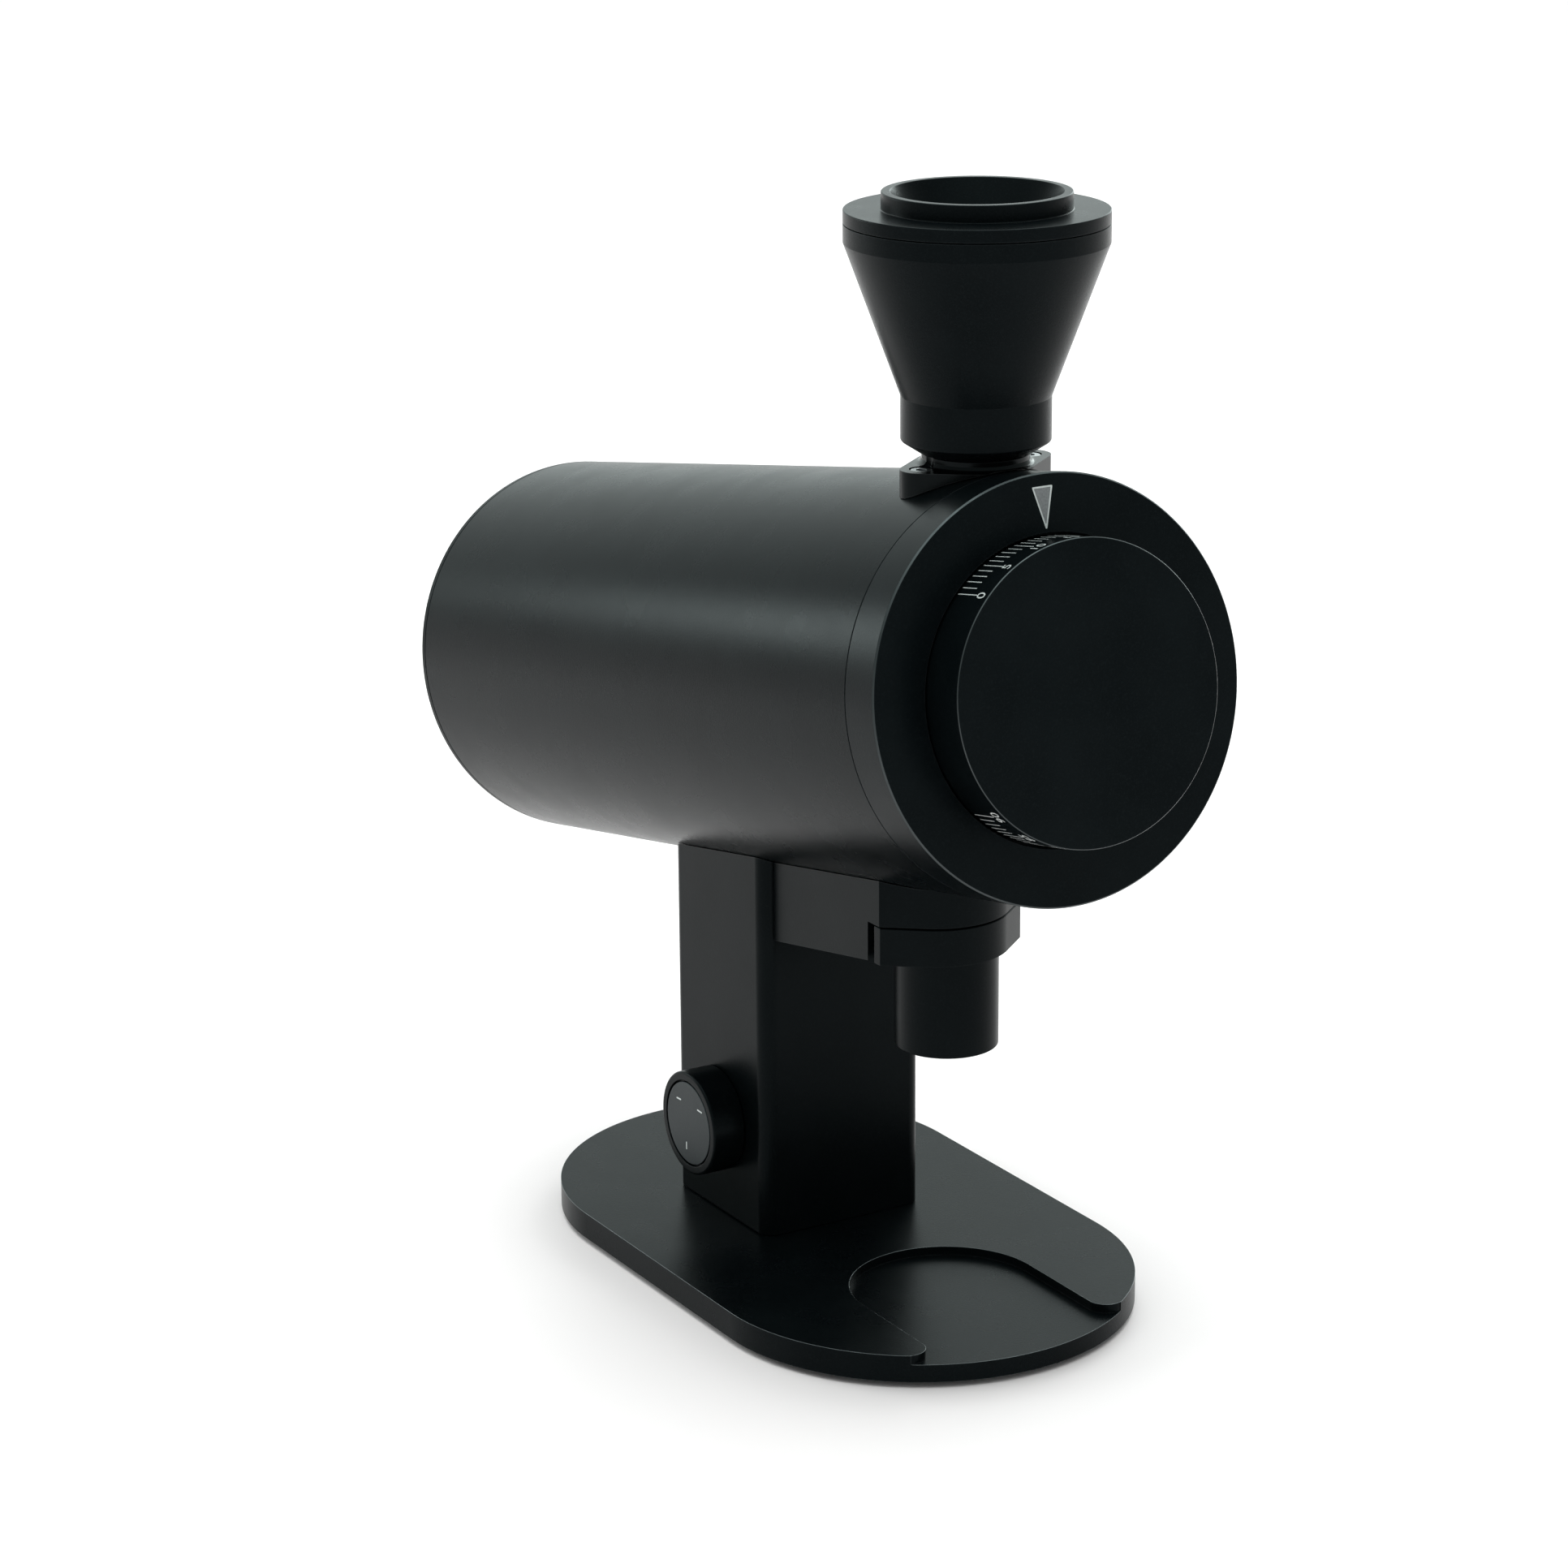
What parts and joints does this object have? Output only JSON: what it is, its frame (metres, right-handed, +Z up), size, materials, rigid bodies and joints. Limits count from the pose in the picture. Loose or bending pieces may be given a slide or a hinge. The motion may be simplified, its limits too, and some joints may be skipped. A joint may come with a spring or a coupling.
{
  "type": "electric coffee grinder",
  "caption": "Single-dose electric coffee grinder: tilted drum with numbered dial, cone hopper, chute and column on an oval base.",
  "frame": {"origin": "centre of the bounding box at the surface the feet stand on", "axes": "+Z up, the dial faces -Y and the drum runs back along +Y, dropping 10 degrees; the speed knob is on -X"},
  "size_m": [0.141, 0.333, 0.3663],
  "materials": {
    "body_aluminium": "fine bead-blasted black anodised",
    "polished_aluminium": "polished black anodised",
    "bare_aluminium": "turned",
    "black_plastic": "satin black",
    "knob_face": "satin grey",
    "rubber": "matte",
    "steel": "machined",
    "burr_steel": "ground",
    "lamination": "stacked sheet",
    "copper": "enamelled wire",
    "board": "circuit board"
  },
  "bodies": {
    "stand": {"base_plate": "body_aluminium", "column": "body_aluminium", "rear_panel": "body_aluminium", "drum_shell": "body_aluminium", "rear_cover": "body_aluminium", "front_ring": "body_aluminium", "hopper_collar": "polished_aluminium", "grind_chamber": "bare_aluminium", "motor_rear_plate": "bare_aluminium", "speed_pot": "bare_aluminium", "chute_block": "black_plastic", "inlet_body": "black_plastic", "foot_front_left": "rubber", "foot_front_right": "rubber", "foot_rear_left": "rubber", "foot_rear_right": "rubber", "declumper": "rubber", "base_bolt_1": "steel", "base_bolt_2": "steel", "saddle_bolt_1": "steel", "saddle_bolt_2": "steel", "panel_screw_1": "steel", "panel_screw_2": "steel", "inlet_pin_live": "steel", "inlet_pin_earth": "steel", "inlet_pin_neutral": "steel", "cover_screw_1": "steel", "cover_screw_2": "steel", "cover_screw_3": "steel", "adjust_spring_1": "steel", "adjust_spring_2": "steel", "adjust_spring_3": "steel", "bearing_front": "steel", "bearing_rear": "steel", "motor_can": "steel", "collar_screw_left": "steel", "collar_screw_right": "steel", "stator": "lamination", "stator_winding": "copper", "control_board": "board"},
    "dial": {"dial": "body_aluminium"},
    "front_carrier": {"burr_carrier_front": "bare_aluminium", "burr_front": "burr_steel", "burr_front_screw_1": "steel", "burr_front_screw_2": "steel", "burr_front_screw_3": "steel"},
    "drive": {"shaft": "steel", "rotor": "lamination", "burr_carrier_rear": "bare_aluminium", "burr_rear": "burr_steel", "burr_rear_screw_1": "steel", "burr_rear_screw_2": "steel", "burr_rear_screw_3": "steel", "feed_auger": "steel", "fan": "black_plastic"},
    "knob": {"speed_knob": "black_plastic", "knob_face": "knob_face"},
    "hopper": {"hopper": "body_aluminium"},
    "hopper_top": {"hopper_ring": "body_aluminium"},
    "nozzle": {"chute_nozzle": "black_plastic"}
  },
  "joints": [
    {"name": "dial_turn", "type": "hinge", "parent": "stand", "child": "dial", "pos_m": [0, -0.143, 0.2235], "axis": [0, 0.9848, -0.1736], "range_deg": [-226, 43]},
    {"name": "burr_travel", "type": "slide", "parent": "stand", "child": "front_carrier", "axis": [0, 0.9848, -0.1736], "range_m": [-0.00095, 0.0002]},
    {"name": "burr_spin", "type": "hinge", "parent": "stand", "child": "drive", "pos_m": [0, -0.143, 0.2235], "axis": [0, 0.9848, -0.1736], "continuous": true},
    {"name": "knob_turn", "type": "hinge", "parent": "stand", "child": "knob", "pos_m": [-0.0304, 0.0104, 0.0446], "axis": [1, 0, 0], "range_deg": [0, 300]},
    {"name": "hopper_lift", "type": "slide", "parent": "stand", "child": "hopper", "axis": [0, 0, 1], "range_m": [0, 0.04]},
    {"name": "hopper_ring_lift", "type": "slide", "parent": "hopper", "child": "hopper_top", "axis": [0, 0, 1], "range_m": [0, 0.02]},
    {"name": "nozzle_pull", "type": "slide", "parent": "stand", "child": "nozzle", "axis": [0, 0, -1], "range_m": [0, 0.05]}
  ],
  "couplings": [
    {"joint": "burr_travel", "follows": "dial_turn", "m_per_rad": 0.00023873}
  ]
}
